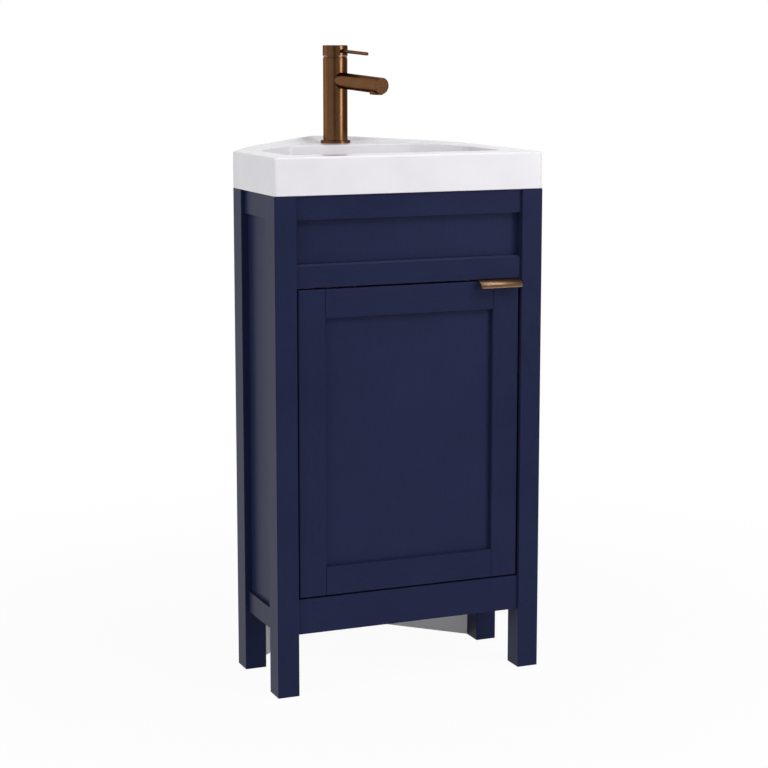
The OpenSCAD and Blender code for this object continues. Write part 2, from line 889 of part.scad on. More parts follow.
module waste_nut() {
    color(steel) at_waste() translate([0, 0, -bowl_t - seal_t - waste_nut_t]) difference() {
        cylinder(h = waste_nut_t, r = 30, $fn = 6);
        translate([0, 0, -cut]) cylinder(h = waste_nut_t + 2 * cut, r = neck_r, $fn = 64);
    }
}

module waste_plug() {
    color(bronze) at_waste() {
        translate([0, 0, waste_flange_t + plug_clear]) rotate_extrude($fn = 64)
            difference() {
                union() {
                    square([plug_r - 2, 5]);
                    square([plug_r, 3]);
                    translate([plug_r - 2, 3]) circle(r = 2, $fn = 24);
                }
                square([plug_r - 4, 2]);
                translate([-10, -1]) square([10, 10]);
            }
        translate([0, 0, -32]) cylinder(h = 32 + waste_flange_t + plug_clear + 3, r = plug_stem_r, $fn = 32);
    }
}

// ---- tap ----

module tap_base_ring() {
    color(bronze) at_tap() difference() {
        rotate_extrude($fn = 96) {
            square([ring_r, ring_h - 1.5]);
            square([ring_r - 1.5, ring_h]);
            translate([ring_r - 1.5, ring_h - 1.5]) circle(r = 1.5, $fn = 24);
        }
        translate([0, 0, -cut]) cylinder(h = ring_h + 2 * cut, r = tap_r, $fn = 96);
    }
}

module spout_axis() {
    translate([0, 0, spout_z]) rotate([0, 90 + tap_slope, 0]) children();
}

module tap_body() {
    edge = 0.6;
    color(bronze) at_tap() difference() {
        union() {
            cylinder(h = body_top - edge, r = tap_r, $fn = 96);
            translate([0, 0, body_top - edge]) cylinder(h = edge, r1 = tap_r, r2 = tap_r - edge, $fn = 96);
        }
        translate([0, 0, cavity_z]) cylinder(h = 60, r = cavity_r, $fn = 64);
        // waterways: up to the spout, and from the two inlets
        translate([0, 0, spout_z - bore_r]) cylinder(h = 30, r = bore_r - 1, $fn = 32);
        spout_axis() cylinder(h = 60, r = bore_r, $fn = 32);
        for (x = [-inlet_x, inlet_x])
            translate([x, 0, -cut]) cylinder(h = inlet_l + cut, r = inlet_r, $fn = 32);
    }
}

module tap_spout() {
    color(bronze) at_tap() difference() {
        spout_axis() rotate_extrude($fn = 96) {
            square([spout_d / 2, spout_reach - 1]);
            square([spout_d / 2 - 1, spout_reach]);
            translate([spout_d / 2 - 1, spout_reach - 1]) circle(r = 1, $fn = 24);
        }
        cylinder(h = 200, r = tap_r, $fn = 96);
        spout_axis() cylinder(h = spout_reach - 4, r = spout_d / 2 - 3, $fn = 64);
        aerator_axis() cylinder(h = spout_d, r = aerator_r, $fn = 48);
    }
}

module aerator_axis() {
    spout_axis() translate([0, 0, spout_reach - aerator_r - 5]) rotate([0, 90, 0]) children();
}

module tap_aerator() {
    color(bronze) at_tap() aerator_axis() translate([0, 0, spout_d / 2 - 4]) difference() {
        cylinder(h = 4 + aerator_out, r = aerator_r, $fn = 48);
        translate([0, 0, 2]) cylinder(h = 10, r = aerator_r - 1.5, $fn = 48);
        translate([0, 0, -cut]) cylinder(h = 10, r = 6, $fn = 32);
    }
}

module tap_cartridge() {
    color(plastic) at_tap() difference() {
        translate([0, 0, cavity_z]) cylinder(h = 19, r = cavity_r, $fn = 64);
        translate([0, 0, cavity_z + 3]) cylinder(h = 20, r = 12, $fn = 48);
        for (a = [0, 120, 240])
            rotate([0, 0, a]) translate([6, 0, cavity_z - cut]) cylinder(h = 6, r = 2.5, $fn = 24);
    }
}

module tap_shank() {
    color(steel) at_tap() translate([0, 0, -shank_l]) difference() {
        cylinder(h = shank_l, r = shank_r, $fn = 64);
        translate([0, 0, -cut]) cylinder(h = shank_l + 2 * cut, r = 13, $fn = 64);
    }
}

module under_deck(z) {
    at_tap() translate([0, 0, -tap_under - z]) children();
}

module washer(h, r_out, facets) {
    difference() {
        cylinder(h = h, r = r_out, $fn = facets);
        translate([0, 0, -cut]) cylinder(h = h + 2 * cut, r = shank_r, $fn = 64);
    }
}

module tap_rubber_washer() {
    color(rubber) under_deck(3) washer(3, 25, 64);
}

module tap_steel_washer() {
    color(steel) under_deck(5) washer(2, 25, 64);
}

module tap_nut() {
    color(steel) under_deck(14) washer(9, 24, 6);
}

// The carrier turns in the body; the cap lifts on the pin that crosses its two lugs.
// Its collar fills the groove under the cap, except at the back, where the edge of the cap dips.
module tap_carrier() {
    color(bronze) at_tap() difference() {
        union() {
            translate([0, 0, carrier_z])
                cylinder(h = body_top + 1 - carrier_z, r = cavity_r - run_gap, $fn = 64);
            intersection() {
                translate([0, 0, body_top + 0.3]) cylinder(h = groove_h - 0.8, r = collar_r, $fn = 96);
                translate([lift_x + 1, -tap_r, body_top]) cube([2 * tap_r, 2 * tap_r, groove_h]);
            }
            for (s = [-1, 1]) hull() {
                translate([lift_x, s * (lug_y[0] + lug_y[1]) / 2, lift_z]) rotate([90, 0, 0])
                    cylinder(h = lug_y[1] - lug_y[0], r = lug_r, center = true, $fn = 32);
                translate([lift_x - lug_r, s > 0 ? lug_y[0] : -lug_y[1], body_top - 1])
                    cube([2 * lug_r, lug_y[1] - lug_y[0], 1]);
            }
        }
        // slot that the tongue swings in, hole for the pin, room for the lug of the cap
        translate([-tongue_w / 2 - 2, -tongue_w / 2 - 0.4, carrier_z - cut]) cube([18, tongue_w + 0.8, 30]);
        translate([lift_x, 0, lift_z]) rotate([90, 0, 0])
            cylinder(h = 2 * lug_y[1] + 2, r = lift_pin_r, center = true, $fn = 32);
        translate([lift_x - 4, -lug_y[0], body_top - 1.5]) cube([8, 2 * lug_y[0], 10]);
    }
}

module tap_handle_pin() {
    color(steel) at_tap() translate([lift_x, 0, lift_z]) rotate([90, 0, 0])
        cylinder(h = 2 * lug_y[1], r = lift_pin_r, center = true, $fn = 32);
}

module lever_axis() {
    translate([0, 0, lever_z]) rotate([0, 90 + tap_slope, 0]) children();
}

module tap_cap() {
    color(bronze) at_tap() difference() {
        union() {
            difference() {
                translate([0, 0, cap_z]) rotate_extrude($fn = 96) {
                    square([cap_r, cap_h - 1.5]);
                    square([cap_r - 1.5, cap_h]);
                    translate([cap_r - 1.5, cap_h - 1.5]) circle(r = 1.5, $fn = 24);
                }
                translate([0, 0, cap_z - cut])
                    cylinder(h = cap_h - cap_roof + cut, r = cap_r - cap_wall, $fn = 64);
            }
            // tongue that works the cartridge, and the lug on the lift pin
            translate([-tongue_w / 2, -tongue_w / 2, tongue_low])
                cube([tongue_w, tongue_w, tap_h - cap_roof + 1 - tongue_low]);
            hull() {
                translate([lift_x, 0, lift_z]) rotate([90, 0, 0])
                    cylinder(h = 2 * lug_y[0] - 0.8, r = lug_r, center = true, $fn = 32);
                translate([lift_x - lug_r, -lug_y[0] + 0.4, tap_h - cap_roof])
                    cube([2 * lug_r, 2 * lug_y[0] - 0.8, 1]);
            }
        }
        translate([lift_x, 0, lift_z]) rotate([90, 0, 0])
            cylinder(h = 2 * lug_y[1], r = lift_pin_r + run_gap, center = true, $fn = 32);
        lever_axis() translate([0, 0, lever_in]) cylinder(h = 40, r = lever_r, $fn = 48);
        translate([-cap_r - cut, 0, lever_z]) rotate([0, 90, 0])
            cylinder(h = cap_r, r = grub_r, $fn = 24);
    }
}

module tap_lever() {
    color(bronze) at_tap() lever_axis() translate([0, 0, lever_in]) rotate_extrude($fn = 48) {
        l = lever_reach - lever_in;
        square([lever_r, l - 1]);
        square([lever_r - 1, l]);
        translate([lever_r - 1, l - 1]) circle(r = 1, $fn = 24);
    }
}

module tap_grub_screw() {
    color(steel) at_tap() translate([-cap_r + 1, 0, lever_z]) rotate([0, 90, 0])
        cylinder(h = grub_l, r = grub_r, $fn = 24);
}

leg_front_left();
leg_front_right();
leg_back_left();
leg_back_right();
front_top_rail();
front_mid_rail();
front_bottom_rail();
false_drawer_panel();
side_top_rail_left();
side_top_rail_right();
side_bottom_rail_left();
side_bottom_rail_right();
side_panel_left();
side_panel_right();
wall_panel_left();
wall_panel_right();
corner_batten();
wall_spacers();
cabinet_floor();
floor_cleats();
rail_dowels();
shelf();
shelf_pins();
hinge_strip();
hinge_plates();
hinge_arms();
hinge_plate_screws();
door_stop();
door_bumpers();
door_stile_left();
door_stile_right();
door_rail_top();
door_rail_bottom();
door_panel();
door_pull();
door_pull_screws();
hinge_cups();
hinge_pins();
hinge_cup_screws();
basin();
waste_body();
waste_seal();
waste_nut();
waste_plug();
tap_base_ring();
tap_body();
tap_spout();
tap_aerator();
tap_cartridge();
tap_shank();
tap_rubber_washer();
tap_steel_washer();
tap_nut();
tap_carrier();
tap_handle_pin();
tap_cap();
tap_lever();
tap_grub_screw();
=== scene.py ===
# Dresses the corner vanity unit: materials, a smooth ceramic basin, eased edges, light and camera.
import math

import bmesh
import bpy
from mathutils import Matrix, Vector


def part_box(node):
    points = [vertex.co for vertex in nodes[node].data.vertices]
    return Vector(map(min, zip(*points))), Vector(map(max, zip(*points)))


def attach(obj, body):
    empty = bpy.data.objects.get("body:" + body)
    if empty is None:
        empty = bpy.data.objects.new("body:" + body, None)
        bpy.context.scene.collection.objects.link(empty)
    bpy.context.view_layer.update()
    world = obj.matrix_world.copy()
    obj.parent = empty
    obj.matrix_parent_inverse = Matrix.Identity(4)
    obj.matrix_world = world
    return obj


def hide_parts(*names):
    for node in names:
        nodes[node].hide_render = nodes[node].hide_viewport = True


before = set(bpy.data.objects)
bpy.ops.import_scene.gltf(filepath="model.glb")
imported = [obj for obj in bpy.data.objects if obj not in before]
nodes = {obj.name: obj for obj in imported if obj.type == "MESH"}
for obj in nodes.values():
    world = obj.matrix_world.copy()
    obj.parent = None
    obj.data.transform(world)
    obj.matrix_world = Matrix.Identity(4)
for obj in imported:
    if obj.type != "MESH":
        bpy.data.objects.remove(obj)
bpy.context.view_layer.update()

MM = 0.001


# ---- colour and node helpers ----

def srgb(r, g, b):
    """Linear colour from the 0 to 255 values that a screen shows."""
    def channel(c):
        c /= 255
        return c / 12.92 if c <= 0.04045 else ((c + 0.055) / 1.055) ** 2.4
    return (channel(r), channel(g), channel(b), 1.0)


class Shader:
    """A material under construction: its nodes and links."""

    def __init__(self, name):
        self.material = bpy.data.materials.new(name)
        self.material.use_nodes = True
        self.tree = self.material.node_tree
        self.surface = self.tree.nodes["Principled BSDF"]
        self.coords = self.tree.nodes.new("ShaderNodeTexCoord")

    def node(self, kind, **settings):
        made = self.tree.nodes.new(kind)
        for key, value in settings.items():
            setattr(made, key, value)
        return made

    def link(self, source, target):
        self.tree.links.new(source, target)

    def noise(self, scale, stretch=(1, 1, 1), detail=3.0, roughness=0.5):
        """Noise with features about 1/scale metres wide, drawn out where stretch is under 1."""
        mapping = self.node("ShaderNodeMapping")
        mapping.inputs["Scale"].default_value = stretch
        self.link(self.coords.outputs["Object"], mapping.inputs["Vector"])
        texture = self.node("ShaderNodeTexNoise")
        texture.inputs["Scale"].default_value = scale
        texture.inputs["Detail"].default_value = detail
        texture.inputs["Roughness"].default_value = roughness
        self.link(mapping.outputs["Vector"], texture.inputs["Vector"])
        return texture.outputs["Fac"]

    def ramp(self, value, low, high, start=0.35, end=0.65):
        """Blends between two colours as value goes from start to end."""
        ramp = self.node("ShaderNodeValToRGB")
        ramp.color_ramp.elements[0].position = start
        ramp.color_ramp.elements[0].color = low
        ramp.color_ramp.elements[1].position = end
        ramp.color_ramp.elements[1].color = high
        self.link(value, ramp.inputs["Fac"])
        return ramp.outputs["Color"]

    def spread(self, value, low, high):
        """Maps value from 0..1 to low..high."""
        mapped = self.node("ShaderNodeMapRange")
        mapped.inputs["To Min"].default_value = low
        mapped.inputs["To Max"].default_value = high
        self.link(value, mapped.inputs["Value"])
        return mapped.outputs["Result"]

    def total(self, a, b, share):
        """a plus share times b."""
        scaled = self.node("ShaderNodeMath", operation="MULTIPLY_ADD")
        scaled.inputs[1].default_value = share
        self.link(b, scaled.inputs[0])
        self.link(a, scaled.inputs[2])
        return scaled.outputs["Value"]

    def bump(self, height, strength, distance):
        bump = self.node("ShaderNodeBump")
        bump.inputs["Strength"].default_value = strength
        bump.inputs["Distance"].default_value = distance
        self.link(height, bump.inputs["Height"])
        self.link(bump.outputs["Normal"], self.surface.inputs["Normal"])

    def set(self, **values):
        for key, value in values.items():
            self.surface.inputs[key.replace("_", " ")].default_value = value


# ---- materials ----

GRAIN_ALONG = {"x": (0.06, 1, 1), "y": (1, 0.06, 1), "z": (1, 1, 0.06)}


def paint(name, colour, along):
    """Satin paint over wood: brush marks run along the piece and the coat varies a little."""
    made = Shader(name)
    strokes = made.noise(900, GRAIN_ALONG[along], 4, 0.6)
    coat = made.noise(9, (1, 1, 1), 2)
    light = tuple(c * 1.10 for c in colour[:3]) + (1,)
    dark = tuple(c * 0.90 for c in colour[:3]) + (1,)
    shade = made.ramp(made.total(strokes, coat, 0.5), dark, light, 0.55, 0.95)
    made.link(shade, made.surface.inputs["Base Color"])
    made.link(made.spread(strokes, 0.32, 0.42), made.surface.inputs["Roughness"])
    made.bump(made.total(strokes, coat, 0.3), 0.16, 0.0006)
    made.set(Specular_IOR_Level=0.06)
    return made.material


def ceramic():
    made = Shader("glazed_ceramic")
    glaze = made.noise(14, (1, 1, 1), 2)
    made.link(made.ramp(glaze, srgb(222, 220, 225), srgb(227, 225, 229)), made.surface.inputs["Base Color"])
    made.link(made.spread(made.noise(60), 0.18, 0.26), made.surface.inputs["Roughness"])
    made.bump(glaze, 0.05, 0.002)
    return made.material


def metal(name, dark, light, roughness, along, edge=(1, 1, 1, 1), lacquer=0.0, scale=2600):
    """Brushed metal under a clear lacquer: fine lines along one axis in colour, gloss and relief."""
    made = Shader(name)
    lines = made.noise(scale, GRAIN_ALONG[along], 3, 0.6)
    cloud = made.noise(35, (1, 1, 1), 2)
    shade = made.ramp(made.total(lines, cloud, 0.4), dark, light, 0.45, 0.95)
    made.link(shade, made.surface.inputs["Base Color"])
    made.link(made.spread(lines, roughness - 0.05, roughness + 0.07), made.surface.inputs["Roughness"])
    made.bump(lines, 0.10, 0.0002)
    made.set(Metallic=1.0, Specular_Tint=edge, Coat_Weight=lacquer, Coat_Roughness=0.12)
    return made.material


def board():
    """Light-grey faced board, matt, with a fine speckle."""
    made = Shader("faced_board")
    speckle = made.noise(1400, (1, 1, 1), 2)
    made.link(made.ramp(speckle, srgb(226, 226, 230), srgb(234, 234, 238)), made.surface.inputs["Base Color"])
    made.bump(speckle, 0.08, 0.0003)
    made.set(Roughness=0.62)
    return made.material


def timber():
    """Bare softwood: growth lines drawn out along the piece."""
    made = Shader("softwood")
    rings = made.noise(120, (1, 1, 0.05), 4, 0.55)
    fibre = made.noise(1500, (1, 1, 0.05), 2)
    made.link(made.ramp(rings, srgb(176, 136, 88), srgb(216, 182, 132)), made.surface.inputs["Base Color"])
    made.bump(fibre, 0.2, 0.0004)
    made.set(Roughness=0.68)
    return made.material


def moulded(name, colour, roughness):
    """Rubber or plastic, with a fine moulded texture."""
    made = Shader(name)
    texture = made.noise(1800, (1, 1, 1), 2)
    dark = tuple(c * 0.9 for c in colour[:3]) + (1,)
    made.link(made.ramp(texture, dark, colour), made.surface.inputs["Base Color"])
    made.bump(texture, 0.12, 0.0003)
    made.set(Roughness=roughness)
    return made.material


NAVY = srgb(31, 36, 64)
NAVY_PANEL = srgb(33, 38, 67)
frame_paint = {along: paint("navy_frame_" + along, NAVY, along) for along in "xyz"}
panel_paint = paint("navy_panel", NAVY_PANEL, "z")
EDGE_TINT = srgb(150, 130, 116)
bronze_upright = metal("bronze_upright", srgb(108, 74, 48), srgb(136, 96, 64), 0.24, "z", EDGE_TINT, 0.15)
# the spout, lever and aerator take a darker copy of the same bronze: the darker colour is painted shade, not
# a different metal
bronze_along_painted_shade = metal("bronze_along_painted_shade", srgb(98, 67, 43), srgb(124, 88, 59), 0.24, "x", EDGE_TINT, 0.15)
# the door pull takes a lighter copy of the same bronze: the lighter colour is painted light, not a different
# metal
bronze_pull_painted_light = metal("bronze_pull_painted_light", srgb(130, 100, 75), srgb(166, 132, 104), 0.38, "x", EDGE_TINT, 0.2)
plated_steel = metal("plated_steel", srgb(160, 160, 162), srgb(206, 206, 208), 0.3, "z", scale=1800)
white_ceramic = ceramic()
grey_board = board()
softwood = timber()
black_rubber = moulded("black_rubber", srgb(38, 38, 38), 0.75)
grey_plastic = moulded("grey_plastic", srgb(205, 205, 200), 0.5)

FINISH = {}
for names, finish in (
    ("leg_front_left leg_front_right leg_back_left leg_back_right hinge_strip "
     "door_stile_left door_stile_right", frame_paint["z"]),
    ("front_top_rail front_mid_rail front_bottom_rail door_rail_top door_rail_bottom door_stop",
     frame_paint["x"]),
    ("side_top_rail_left side_top_rail_right side_bottom_rail_left side_bottom_rail_right",
     frame_paint["y"]),
    ("false_drawer_panel door_panel side_panel_left side_panel_right", panel_paint),
    ("wall_panel_left wall_panel_right wall_spacers cabinet_floor shelf", grey_board),
    ("corner_batten floor_cleats rail_dowels", softwood),
    ("shelf_pins hinge_plates hinge_arms hinge_plate_screws door_pull_screws hinge_cups hinge_pins "
     "hinge_cup_screws waste_nut tap_shank tap_steel_washer tap_nut tap_handle_pin tap_grub_screw",
     plated_steel),
    ("waste_body waste_plug tap_base_ring tap_body tap_carrier tap_cap", bronze_upright),
    ("tap_spout tap_lever tap_aerator", bronze_along_painted_shade),
    ("door_pull", bronze_pull_painted_light),
    ("basin", white_ceramic),
    ("waste_seal tap_rubber_washer", black_rubber),
    ("door_bumpers tap_cartridge", grey_plastic),
):
    for name in names.split():
        FINISH[name] = finish

for name, obj in nodes.items():
    obj.data.materials.clear()
    obj.data.materials.append(FINISH[name])


# ---- eased edges on the painted and cut pieces ----

def ease_edges(name, width, segments=2):
    """Joins the split corners of a CAD mesh and rounds its edges, as modifiers."""
    obj = nodes[name]
    weld = obj.modifiers.new("join", "WELD")
    weld.merge_threshold = 1e-6
    bevel = obj.modifiers.new("ease", "BEVEL")
    bevel.width = width
    bevel.segments = segments
    bevel.limit_method = "ANGLE"
    bevel.angle_limit = math.radians(40)
    bevel.harden_normals = True


PAINTED_FRAME = [n for n in nodes if FINISH[n] in list(frame_paint.values())]
FINE_EDGED = "door_stile_left door_stile_right door_rail_top door_rail_bottom front_mid_rail".split()
for name in PAINTED_FRAME:
    ease_edges(name, (0.3 if name in FINE_EDGED else 0.9) * MM)
ease_edges("door_pull", 0.4 * MM)


# ---- the basin: one lofted ceramic form with rounded edges ----

basin_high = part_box("basin")[1]
FRONT_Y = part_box("leg_front_left")[0].y
SIDE_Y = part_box("leg_back_left")[1].y
HALF_W = basin_high.x
BACK_Y = basin_high.y
BASE_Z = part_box("leg_front_left")[1].z
RIM_Z = BASE_Z + 60 * MM
BLUNT_HALF = 20 * MM
waste_low, waste_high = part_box("waste_body")
WASTE = Vector(((waste_low.x + waste_high.x) / 2, (waste_low.y + waste_high.y) / 2))
FLOOR_Z = waste_high.z - 2 * MM

BASIN_CORNERS = [(-HALF_W, FRONT_Y), (HALF_W, FRONT_Y), (HALF_W, SIDE_Y), (BLUNT_HALF, BACK_Y),
                 (-BLUNT_HALF, BACK_Y), (-HALF_W, SIDE_Y)]
BOWL_X, BOWL_FRONT, BOWL_SIDE, BOWL_BACK = 186 * MM, 54 * MM, 196 * MM, 270 * MM
BOWL_BACK_X = BOWL_X - (BOWL_BACK - BOWL_SIDE)
BOWL_CORNERS = [(-BOWL_X, FRONT_Y + BOWL_FRONT), (BOWL_X, FRONT_Y + BOWL_FRONT),
                (BOWL_X, FRONT_Y + BOWL_SIDE), (BOWL_BACK_X, FRONT_Y + BOWL_BACK),
                (-BOWL_BACK_X, FRONT_Y + BOWL_BACK), (-BOWL_X, FRONT_Y + BOWL_SIDE)]
ARC_STEPS, EDGE_STEPS = 8, 12
# the upstand along the walls: how far its top has risen, by depth from the front
UPSTAND = [(198 * MM, 0), (245 * MM, 5 * MM), (402 * MM, 11 * MM)]
UPSTAND_W, COVE_W, LANDING = 9 * MM, 19 * MM, 1.8 * MM


def outline(corners, inset, radius):
    """A convex outline moved in by inset with rounded corners: the same number of points each time."""
    corners = [Vector(c) for c in corners]
    arcs = []
    for before, corner, after in zip(corners[-1:] + corners[:-1], corners, corners[1:] + corners[:1]):
        into, out = (corner - before).normalized(), (after - corner).normalized()
        n0, n1 = Vector((-into.y, into.x)), Vector((-out.y, out.x))
        centre = corner + (n0 + n1) * (inset + radius) / (1 + n0.dot(n1))
        turn = math.atan2(into.cross(out), into.dot(out))
        start = math.atan2(-n0.y, -n0.x)
        arcs.append([centre + radius * Vector((math.cos(start + turn * i / ARC_STEPS),
                                               math.sin(start + turn * i / ARC_STEPS)))
                     for i in range(ARC_STEPS + 1)])
    points = []
    for arc, following in zip(arcs, arcs[1:] + arcs[:1]):
        points += arc
        points += [arc[-1].lerp(following[0], i / EDGE_STEPS) for i in range(1, EDGE_STEPS)]
    return points


def circle_like(points, radius):
    """The points drawn towards the waste onto a circle round it."""
    return [WASTE + (p - WASTE).normalized() * radius for p in points]


def upstand_rise(y):
    """How far the top of the upstand has risen at this depth; it starts softly."""
    depth, soft = y - FRONT_Y, 6 * MM
    (start, _), (knee, knee_rise), (end, top) = UPSTAND
    if depth > knee:
        return knee_rise + (top - knee_rise) * min((depth - knee) / (end - knee), 1)
    run = max(depth - start, 0)
    run = run * run / (2 * soft) if run < soft else run - soft / 2
    return knee_rise * run / (knee - start - soft / 2)


def cove(inset):
    """Height of the landing and of its soft cove at this distance from the outer edge."""
    part = max(UPSTAND_W + COVE_W - inset, 0) / COVE_W
    return LANDING + (UPSTAND[-1][1] - LANDING) * part * part


def soft_min(a, b, reach=3 * MM):
    """The lower of two heights, rounded where they cross."""
    part = max(reach - abs(a - b), 0) / reach
    return min(a, b) - part * part * reach / 4


def ring(points, z, inset=None):
    """Points at one height, or above it by the deck's shape at this distance from the outer edge."""
    lift = (lambda y: 0) if inset is None else (lambda y: soft_min(upstand_rise(y), cove(inset)))
    return [Vector((p.x, p.y, z + lift(p.y))) for p in points]


def blend_rings(a, b, share):
    return [p.lerp(q, share) for p, q in zip(a, b)]


def basin_rings():
    """Rings of points up the outside, over the rim, down the bowl, and back under the deck."""
    edge, corner = 4 * MM, 6 * MM
    rings = [ring(outline(BASIN_CORNERS, 1 * MM, corner), BASE_Z),
             ring(outline(BASIN_CORNERS, 0.3 * MM, corner), BASE_Z + 0.3 * MM),
             ring(outline(BASIN_CORNERS, 0, corner), BASE_Z + 1 * MM)]
    for i in range(7):
        a = math.radians(15 * i)
        points = outline(BASIN_CORNERS, edge * (1 - math.cos(a)), corner)
        rings.append(ring(points, RIM_Z - edge * (1 - math.sin(a)), 0))
    # over the upstand and down its cove to the landing
    for inset in (5.5, 7, 8, 8.6, 9, 9.5, 10.5, 12, 14, 16, 18.5, 21, 24, 28):
        rings.append(ring(outline(BASIN_CORNERS, inset * MM, corner), RIM_Z, inset * MM))
    # the flat of the rim and landing
    lip, flat = 2.5 * MM, 28 * MM
    outer = outline(BASIN_CORNERS, flat, corner)
    inner = outline(BOWL_CORNERS, -lip, 26 * MM)
    for share in (0.25, 0.5, 0.75, 0.92, 1.0):
        rings.append(ring([p.lerp(q, share) for p, q in zip(outer, inner)], RIM_Z, flat))
    # over the lip and down the sloping wall
    for i in range(1, 7):
        a = math.radians(15 * i)
        points = outline(BOWL_CORNERS, -lip * (1 - math.sin(a)), 26 * MM)
        rings.append(ring(points, RIM_Z - lip * (1 - math.cos(a)), flat))
    draft, round_r = 9 * MM, 34 * MM
    round_z = FLOOR_Z + 7 * MM + round_r
    for i in range(11):
        a = math.radians(9 * i)
        points = outline(BOWL_CORNERS, draft + round_r * (1 - math.cos(a)), 26 * MM)
        rings.append(ring(points, round_z - round_r * math.sin(a)))
    # the floor falls to the waste
    well = ring(circle_like(points, 38 * MM), FLOOR_Z)
    rings += [blend_rings(rings[-1], well, share) for share in (0.15, 0.35, 0.6, 0.85, 1.0)]
    rings += [ring(circle_like(points, 24 * MM), FLOOR_Z),
              ring(circle_like(points, 23 * MM), FLOOR_Z - 1 * MM),
              ring(circle_like(points, 23 * MM), FLOOR_Z - 9 * MM),
              ring(circle_like(points, 38 * MM), FLOOR_Z - 9 * MM)]
    # the outside of the bowl, the underside of the deck and the inside of the apron
    wall = 9 * MM
    for i in range(10, -1, -2):
        a = math.radians(9 * i)
        inset = draft + round_r * (1 - math.cos(a)) - wall * math.cos(a)
        rings.append(ring(outline(BOWL_CORNERS, inset, 30 * MM), round_z - (round_r + wall) * math.sin(a)))
    under = RIM_Z - 12 * MM
    rings += [ring(outline(BOWL_CORNERS, -7.6 * MM, 30 * MM), under),
              ring(outline(BASIN_CORNERS, 14 * MM, 3 * MM), under),
              ring(outline(BASIN_CORNERS, 14 * MM, 3 * MM), BASE_Z)]
    return rings


def mesh_from_rings(name, rings, closed):
    """A skin over rings of equal length; closed joins the last ring to the first."""
    count = len(rings[0])
    faces = []
    for a in range(len(rings) if closed else len(rings) - 1):
        b = (a + 1) % len(rings)
        for i in range(count):
            j = (i + 1) % count
            faces.append((a * count + i, a * count + j, b * count + j, b * count + i))
    mesh = bpy.data.meshes.new(name)
    mesh.from_pydata([p for points in rings for p in points], [], faces)
    return mesh


def smooth_piece(name, mesh, body, slot, material, *replaced):
    """A smooth-shaded piece whose large faces keep their flat shading."""
    made = bmesh.new()
    made.from_mesh(mesh)
    bmesh.ops.recalc_face_normals(made, faces=made.faces)
    made.to_mesh(mesh)
    made.free()
    mesh.polygons.foreach_set("use_smooth", [True] * len(mesh.polygons))
    mesh.materials.append(material)
    obj = bpy.data.objects.new(name, mesh)
    bpy.context.scene.collection.objects.link(obj)
    weighted = obj.modifiers.new("flat faces lead", "WEIGHTED_NORMAL")
    weighted.weight = 90
    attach(obj, body)
    if replaced:
        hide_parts(*replaced)
    return obj


smooth_piece("basin_form", mesh_from_rings("basin_form", basin_rings(), True),
             "cabinet", "ceramic", white_ceramic, "basin")


# ---- floor, light and camera ----

def larger(tree, a, b):
    """The larger of two values."""
    made = tree.nodes.new("ShaderNodeMath")
    made.operation = "MAXIMUM"
    tree.links.new(a, made.inputs[0])
    tree.links.new(b, made.inputs[1])
    return made.outputs["Value"]


def room_level(tree, direction):
    """Brightness of the studio in a reflection: the white background behind the object, as the camera
    sees it, and on the camera's side a pale wall to the left and a dim panel ahead of the front."""
    def faded(value, start, end, low, high):
        made = tree.nodes.new("ShaderNodeMapRange")
        made.interpolation_type = "SMOOTHSTEP"
        for key, number in zip(("From Min", "From Max", "To Min", "To Max"), (start, end, low, high)):
            made.inputs[key].default_value = number
        tree.links.new(value, made.inputs["Value"])
        return made.outputs["Result"]

    split = tree.nodes.new("ShaderNodeSeparateXYZ")
    tree.links.new(direction, split.inputs["Vector"])
    left = faded(split.outputs["X"], -0.50, -0.72, 0.0, 0.56)
    ahead = faded(split.outputs["Y"], -0.93, -0.98, 0.18, 0.45)
    back = faded(split.outputs["Y"], 0.0, 0.6, 0.0, 1.0)
    return larger(tree, larger(tree, left, ahead), back)


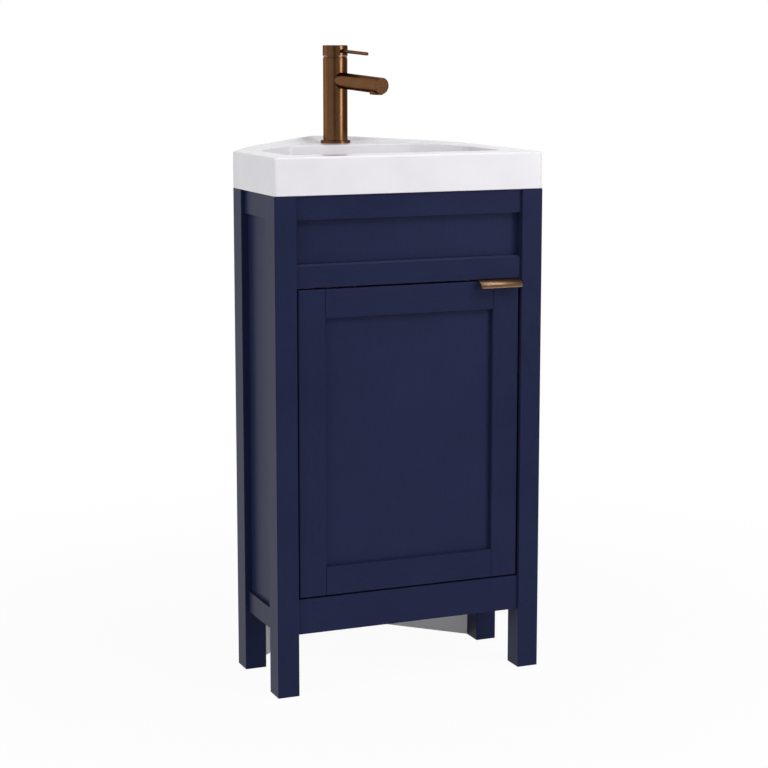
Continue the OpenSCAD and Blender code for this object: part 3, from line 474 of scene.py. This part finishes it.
def make_floor():
    """A pale floor that goes to white away from the object, and keeps its shadow."""
    bpy.ops.mesh.primitive_circle_add(vertices=96, radius=40, fill_type="NGON", location=(0, 0, 0))
    floor = bpy.context.object
    floor.name = "studio_floor"
    made = Shader("studio_floor")
    tree = made.tree
    output = tree.nodes["Material Output"]
    made.set(Base_Color=srgb(205, 205, 207), Roughness=0.9, Specular_IOR_Level=0.1)
    white = made.node("ShaderNodeEmission")
    white.inputs["Strength"].default_value = 1.0
    # white grows from the object outwards, so that the shadow stays at its feet
    reach = made.node("ShaderNodeVectorMath", operation="LENGTH")
    made.link(made.coords.outputs["Object"], reach.inputs[0])
    fade = made.node("ShaderNodeMapRange", interpolation_type="SMOOTHSTEP")
    fade.inputs["From Min"].default_value = 0.3
    fade.inputs["From Max"].default_value = 1.5
    fade.inputs["To Min"].default_value = 0.95
    made.link(reach.outputs["Value"], fade.inputs["Value"])
    # in reflections the floor is white near the object and runs out into the same room as the world's
    outward = made.node("ShaderNodeVectorMath", operation="NORMALIZE")
    made.link(made.coords.outputs["Object"], outward.inputs[0])
    room = room_level(tree, outward.outputs["Vector"])
    far = made.node("ShaderNodeMapRange", interpolation_type="SMOOTHSTEP")
    far.inputs["From Min"].default_value = 1.0
    far.inputs["From Max"].default_value = 3.0
    far.inputs["To Min"].default_value = 1.0
    made.link(reach.outputs["Value"], far.inputs["Value"])
    made.link(room, far.inputs["To Max"])
    rays = made.node("ShaderNodeLightPath")
    seen = larger(tree, rays.outputs["Is Camera Ray"], rays.outputs["Is Glossy Ray"])
    seen = larger(tree, seen, rays.outputs["Is Transmission Ray"])
    share = made.node("ShaderNodeMath", operation="MULTIPLY")
    made.link(seen, share.inputs[0])
    made.link(fade.outputs["Result"], share.inputs[1])
    mix = made.node("ShaderNodeMixShader")
    made.link(share.outputs["Value"], mix.inputs["Fac"])
    made.link(made.surface.outputs["BSDF"], mix.inputs[1])
    made.link(white.outputs["Emission"], mix.inputs[2])
    level = made.node("ShaderNodeMix")
    level.inputs["A"].default_value = 1.0
    made.link(rays.outputs["Is Glossy Ray"], level.inputs["Factor"])
    made.link(far.outputs["Result"], level.inputs["B"])
    made.link(level.outputs["Result"], white.inputs["Strength"])
    made.link(mix.outputs["Shader"], output.inputs["Surface"])
    floor.data.materials.append(made.material)


def make_world():
    """White to the camera; the light on the object is a plain grey, and reflections see a studio: the
    same white behind the object, and a darker room behind the camera."""
    world = bpy.data.worlds.new("studio")
    bpy.context.scene.world = world
    world.use_nodes = True
    tree = world.node_tree
    background = tree.nodes["Background"]
    background.inputs["Color"].default_value = (1, 1, 1, 1)
    coords = tree.nodes.new("ShaderNodeTexCoord")
    room = room_level(tree, coords.outputs["Generated"])
    rays = tree.nodes.new("ShaderNodeLightPath")
    glossy = tree.nodes.new("ShaderNodeMix")
    glossy.inputs["A"].default_value = 0.32
    tree.links.new(rays.outputs["Is Glossy Ray"], glossy.inputs["Factor"])
    tree.links.new(room, glossy.inputs["B"])
    seen = larger(tree, rays.outputs["Is Camera Ray"], rays.outputs["Is Transmission Ray"])
    strength = larger(tree, seen, glossy.outputs["Result"])
    tree.links.new(strength, background.inputs["Strength"])


def area_light(name, place, aim, size, power, mirrored=True):
    """A soft box; one that isn't mirrored lights the object and shows in no reflection."""
    lamp = bpy.data.lights.new(name, "AREA")
    lamp.shape = "RECTANGLE"
    lamp.size, lamp.size_y = size
    lamp.energy = power
    obj = bpy.data.objects.new(name, lamp)
    obj.location = place
    obj.rotation_euler = (Vector(aim) - Vector(place)).to_track_quat("-Z", "Y").to_euler()
    obj.visible_glossy = mirrored
    bpy.context.scene.collection.objects.link(obj)


def make_camera():
    """Close to the photo's view: a fit of 26 measured corners in its 768 pixel frame, with a small lens
    shift in place of the photo's large one."""
    yaw, pitch = math.radians(22.508), math.radians(8.834)
    ahead = Vector((math.sin(yaw) * math.cos(pitch), math.cos(yaw) * math.cos(pitch), -math.sin(pitch)))
    data = bpy.data.cameras.new("camera")
    data.sensor_width = 36
    data.lens = 93.09
    data.shift_y = -0.05
    camera = bpy.data.objects.new("camera", data)
    camera.location = (-1.2388, -3.0728, 1.0422)
    camera.rotation_euler = ahead.to_track_quat("-Z", "Y").to_euler()
    bpy.context.scene.collection.objects.link(camera)
    bpy.context.scene.camera = camera


make_camera()
make_floor()
make_world()
area_light("strip", (1.616, -2.09, 1.05), (0, 0, 0.7), (0.77, 1.1), 14)
area_light("key", (1.4, -2.4, 3.0), (0, 0, 0.6), (1.6, 1.2), 45, mirrored=False)
area_light("fill", (-2.8, -1.2, 1.4), (0, 0, 0.6), (2.2, 2.0), 40, mirrored=False)
area_light("low", (0.5, -2.6, 0.3), (0, 0, 0.05), (1.4, 0.35), 6.5, mirrored=False)
area_light("overhead", (1.05, -0.62, 3.3), (1.05, -0.62, 0), (1.1, 0.75), 17)
area_light("top", (-0.7, -0.7, 3.2), (0, 0, 0.8), (1.4, 1.2), 6, mirrored=False)
bpy.context.scene.view_settings.view_transform = "Standard"
